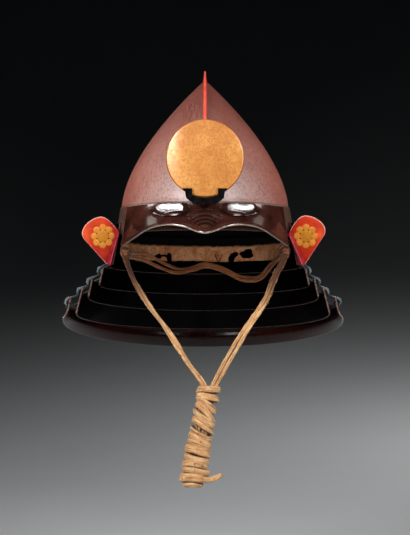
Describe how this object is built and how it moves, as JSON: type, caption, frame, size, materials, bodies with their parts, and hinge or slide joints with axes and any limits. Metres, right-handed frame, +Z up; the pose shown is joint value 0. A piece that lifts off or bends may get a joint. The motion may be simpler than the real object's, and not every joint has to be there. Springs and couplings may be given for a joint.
{
  "type": "kabuto_helmet",
  "caption": "Samurai helmet with a pointed russet iron bowl, red ridge, embossed visor, gilt sun disc crest, laced neck guard, red turnbacks and a wound chin cord",
  "frame": {"origin": "Centre of the plane of the bowl's rim, where the helmet sits on the head", "axes": "+Z up through the bowl, -Y towards the face side, +X towards the wearer's left; metres"},
  "size_m": [0.3496, 0.335, 0.5195],
  "materials": {
    "russet_iron": "worn russet lacquer on iron, satin",
    "red_lacquer": "red lacquer, semi-gloss",
    "brown_lacquer": "dark brown lacquer, satin",
    "visor_lacquer": "dark brown lacquer, glossy",
    "black_iron": "black lacquer, satin",
    "gilt": "gilded copper, soft satin",
    "black_lacquer": "black lacquer, glossy",
    "blue_braid": "flat silk braid, faded blue",
    "tan_cloth": "frayed linen cord",
    "tan_leather": "worn soft leather"
  },
  "bodies": {
    "helmet": {"bowl_left": "russet_iron", "bowl_right": "russet_iron", "ridge": "red_lacquer", "waist_band": "brown_lacquer", "visor": "visor_lacquer", "crest_holder": "black_iron", "neck_lame_1": "black_lacquer", "neck_lame_2": "black_lacquer", "neck_lame_3": "black_lacquer", "neck_lame_4": "black_lacquer", "neck_lame_5": "black_lacquer", "lacing_1": "blue_braid", "lacing_2": "blue_braid", "lacing_3": "blue_braid", "lacing_4": "blue_braid", "lacing_5": "blue_braid", "lacing_6": "blue_braid", "lacing_7": "blue_braid", "lacing_8": "blue_braid", "lacing_9": "blue_braid", "lacing_10": "blue_braid", "lacing_11": "blue_braid", "turnback_left": "red_lacquer", "turnback_right": "red_lacquer", "lining_band": "tan_leather", "cord_anchor_left": "tan_cloth", "cord_anchor_right": "tan_cloth", "chin_cord_left": "tan_cloth", "chin_cord_right": "tan_cloth", "chin_cord_back": "tan_cloth", "chin_cord_bundle": "tan_cloth", "chin_cord_tail": "tan_cloth"},
    "crest": {"crest_disc": "gilt"}
  },
  "joints": [
    {"name": "crest_lift", "type": "slide", "parent": "helmet", "child": "crest", "axis": [0, 0, 1], "range_m": [0, 0.045]}
  ]
}
